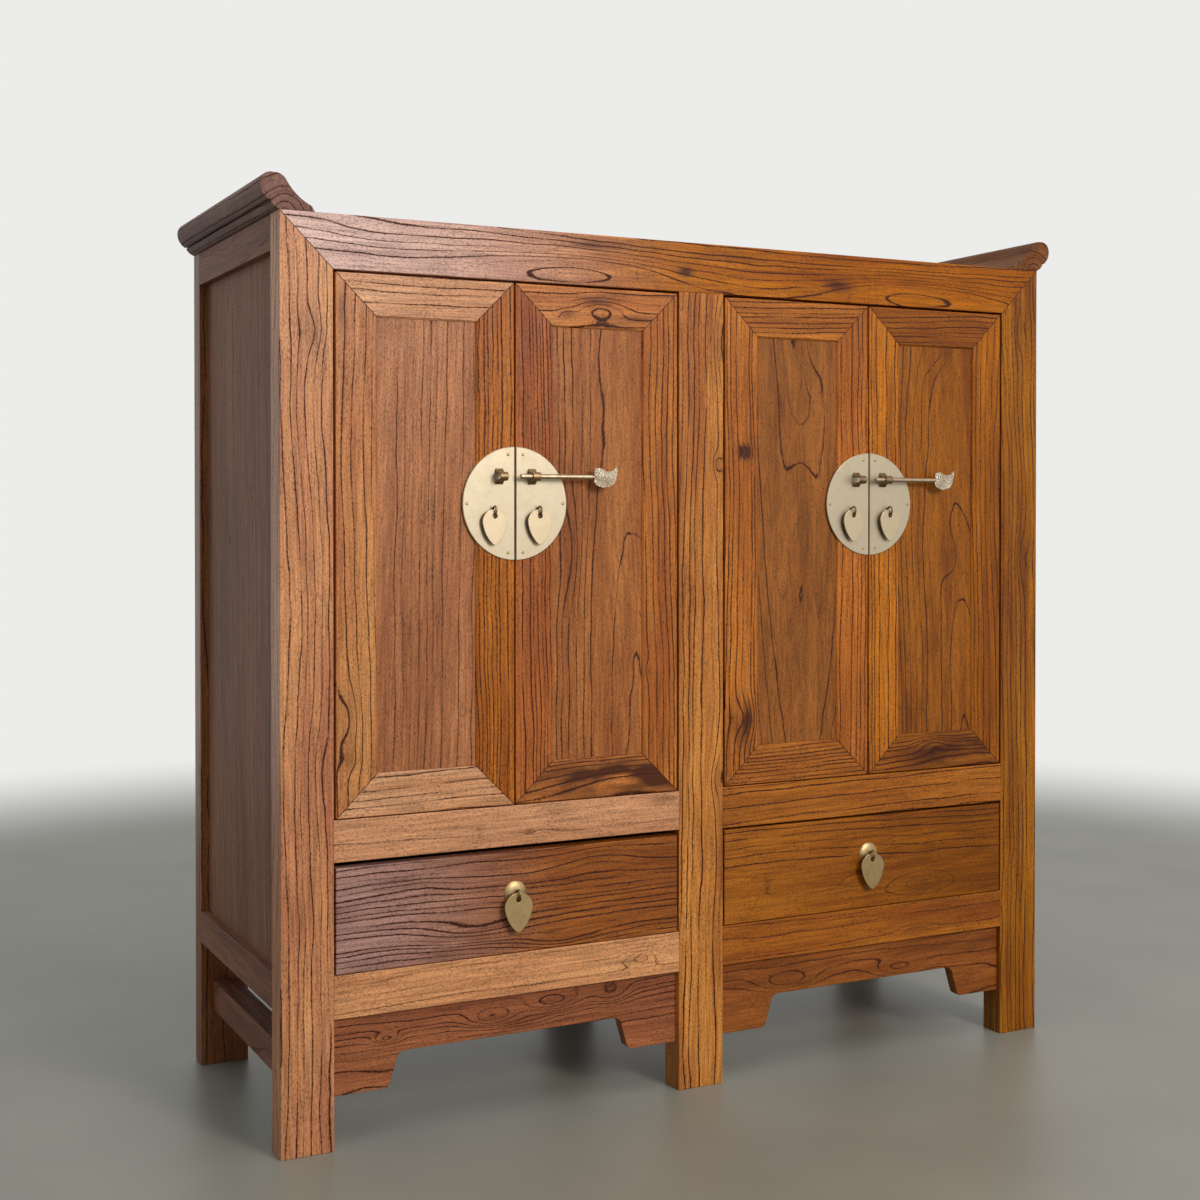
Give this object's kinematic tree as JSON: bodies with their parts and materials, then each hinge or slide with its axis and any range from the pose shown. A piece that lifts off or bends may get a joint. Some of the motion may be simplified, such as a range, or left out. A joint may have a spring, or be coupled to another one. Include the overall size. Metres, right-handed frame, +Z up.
{
  "type": "storage cabinet",
  "caption": "Free-standing wooden cabinet with paired panelled doors on pivots, sliding bolts, drawers below, shaped aprons and everted end flanges.",
  "frame": {"origin": "middle of the footprint at floor level, halfway between the foremost point of the bolt guides and the back of the rear posts", "axes": "+Z up, -Y out of the front, +X to the right as seen from the front"},
  "size_m": [1.196, 0.4401, 1.1692],
  "materials": {
    "elm": "semi-gloss lacquer over open grain",
    "inner_wood": "bare, dull",
    "brass": "satin, pale",
    "dark_brass": "satin, worn"
  },
  "bodies": {
    "carcass": {"front_left_post": "elm", "front_centre_post": "elm", "front_right_post": "elm", "rear_left_post": "elm", "rear_centre_post": "elm", "rear_right_post": "elm", "top_front_rail": "elm", "top_panel": "elm", "left_flange": "elm", "right_flange": "elm", "left_middle_rail": "elm", "right_middle_rail": "elm", "bottom_rails": "elm", "aprons": "elm", "side_top_rails": "elm", "side_bottom_rails": "elm", "side_stretchers": "elm", "left_side_panel": "elm", "right_side_panel": "elm", "back_rails": "elm", "back_panels": "inner_wood", "partition": "inner_wood", "cupboard_floors": "inner_wood", "shelves": "inner_wood", "inner_battens": "inner_wood"},
    "door_1": {"door_1_stiles": "elm", "door_1_rails": "elm", "door_1_panel": "elm", "door_1_plate": "brass", "door_1_hardware": "brass"},
    "door_1_pull": {"door_1_pull": "brass"},
    "door_2": {"door_2_stiles": "elm", "door_2_rails": "elm", "door_2_panel": "elm", "door_2_plate": "brass", "door_2_hardware": "brass"},
    "door_2_pull": {"door_2_pull": "brass"},
    "door_3": {"door_3_stiles": "elm", "door_3_rails": "elm", "door_3_panel": "elm", "door_3_plate": "brass", "door_3_hardware": "brass"},
    "door_3_pull": {"door_3_pull": "brass"},
    "door_4": {"door_4_stiles": "elm", "door_4_rails": "elm", "door_4_panel": "elm", "door_4_plate": "brass", "door_4_hardware": "brass"},
    "door_4_pull": {"door_4_pull": "brass"},
    "left_bolt": {"left_bolt": "brass"},
    "right_bolt": {"right_bolt": "brass"},
    "left_drawer": {"left_drawer_front": "elm", "left_drawer_box": "inner_wood", "left_drawer_fitting": "dark_brass"},
    "left_drawer_pull": {"left_drawer_pull": "dark_brass"},
    "right_drawer": {"right_drawer_front": "elm", "right_drawer_box": "inner_wood", "right_drawer_fitting": "dark_brass"},
    "right_drawer_pull": {"right_drawer_pull": "dark_brass"}
  },
  "joints": [
    {"name": "door_1_hinge", "type": "hinge", "parent": "carcass", "child": "door_1", "pos_m": [-0.486, -0.18895, 0.7285], "axis": [0, 0, 1], "range_deg": [-110, 0]},
    {"name": "door_1_pull_swing", "type": "hinge", "parent": "door_1", "child": "door_1_pull", "pos_m": [-0.3025, -0.20795, 0.771], "axis": [-1, 0, 0], "range_deg": [0, 90]},
    {"name": "door_2_hinge", "type": "hinge", "parent": "carcass", "child": "door_2", "pos_m": [-0.057, -0.18895, 0.7285], "axis": [0, 0, 1], "range_deg": [0, 110]},
    {"name": "door_2_pull_swing", "type": "hinge", "parent": "door_2", "child": "door_2_pull", "pos_m": [-0.2405, -0.20795, 0.771], "axis": [-1, 0, 0], "range_deg": [0, 90]},
    {"name": "door_3_hinge", "type": "hinge", "parent": "carcass", "child": "door_3", "pos_m": [0.057, -0.18895, 0.7285], "axis": [0, 0, 1], "range_deg": [-110, 0]},
    {"name": "door_3_pull_swing", "type": "hinge", "parent": "door_3", "child": "door_3_pull", "pos_m": [0.2405, -0.20795, 0.771], "axis": [-1, 0, 0], "range_deg": [0, 90]},
    {"name": "door_4_hinge", "type": "hinge", "parent": "carcass", "child": "door_4", "pos_m": [0.486, -0.18895, 0.7285], "axis": [0, 0, 1], "range_deg": [0, 110]},
    {"name": "door_4_pull_swing", "type": "hinge", "parent": "door_4", "child": "door_4_pull", "pos_m": [0.3025, -0.20795, 0.771], "axis": [-1, 0, 0], "range_deg": [0, 90]},
    {"name": "left_bolt_slide", "type": "slide", "parent": "door_2", "child": "left_bolt", "axis": [1, 0, 0], "range_m": [-0.066, 0]},
    {"name": "right_bolt_slide", "type": "slide", "parent": "door_4", "child": "right_bolt", "axis": [1, 0, 0], "range_m": [-0.066, 0]},
    {"name": "left_drawer_slide", "type": "slide", "parent": "carcass", "child": "left_drawer", "axis": [0, -1, 0], "range_m": [0, 0.28]},
    {"name": "left_drawer_pull_swing", "type": "hinge", "parent": "left_drawer", "child": "left_drawer_pull", "pos_m": [-0.2715, -0.21075, 0.2885], "axis": [-1, 0, 0], "range_deg": [0, 90]},
    {"name": "right_drawer_slide", "type": "slide", "parent": "carcass", "child": "right_drawer", "axis": [0, -1, 0], "range_m": [0, 0.28]},
    {"name": "right_drawer_pull_swing", "type": "hinge", "parent": "right_drawer", "child": "right_drawer_pull", "pos_m": [0.2715, -0.21075, 0.2885], "axis": [-1, 0, 0], "range_deg": [0, 90]}
  ]
}
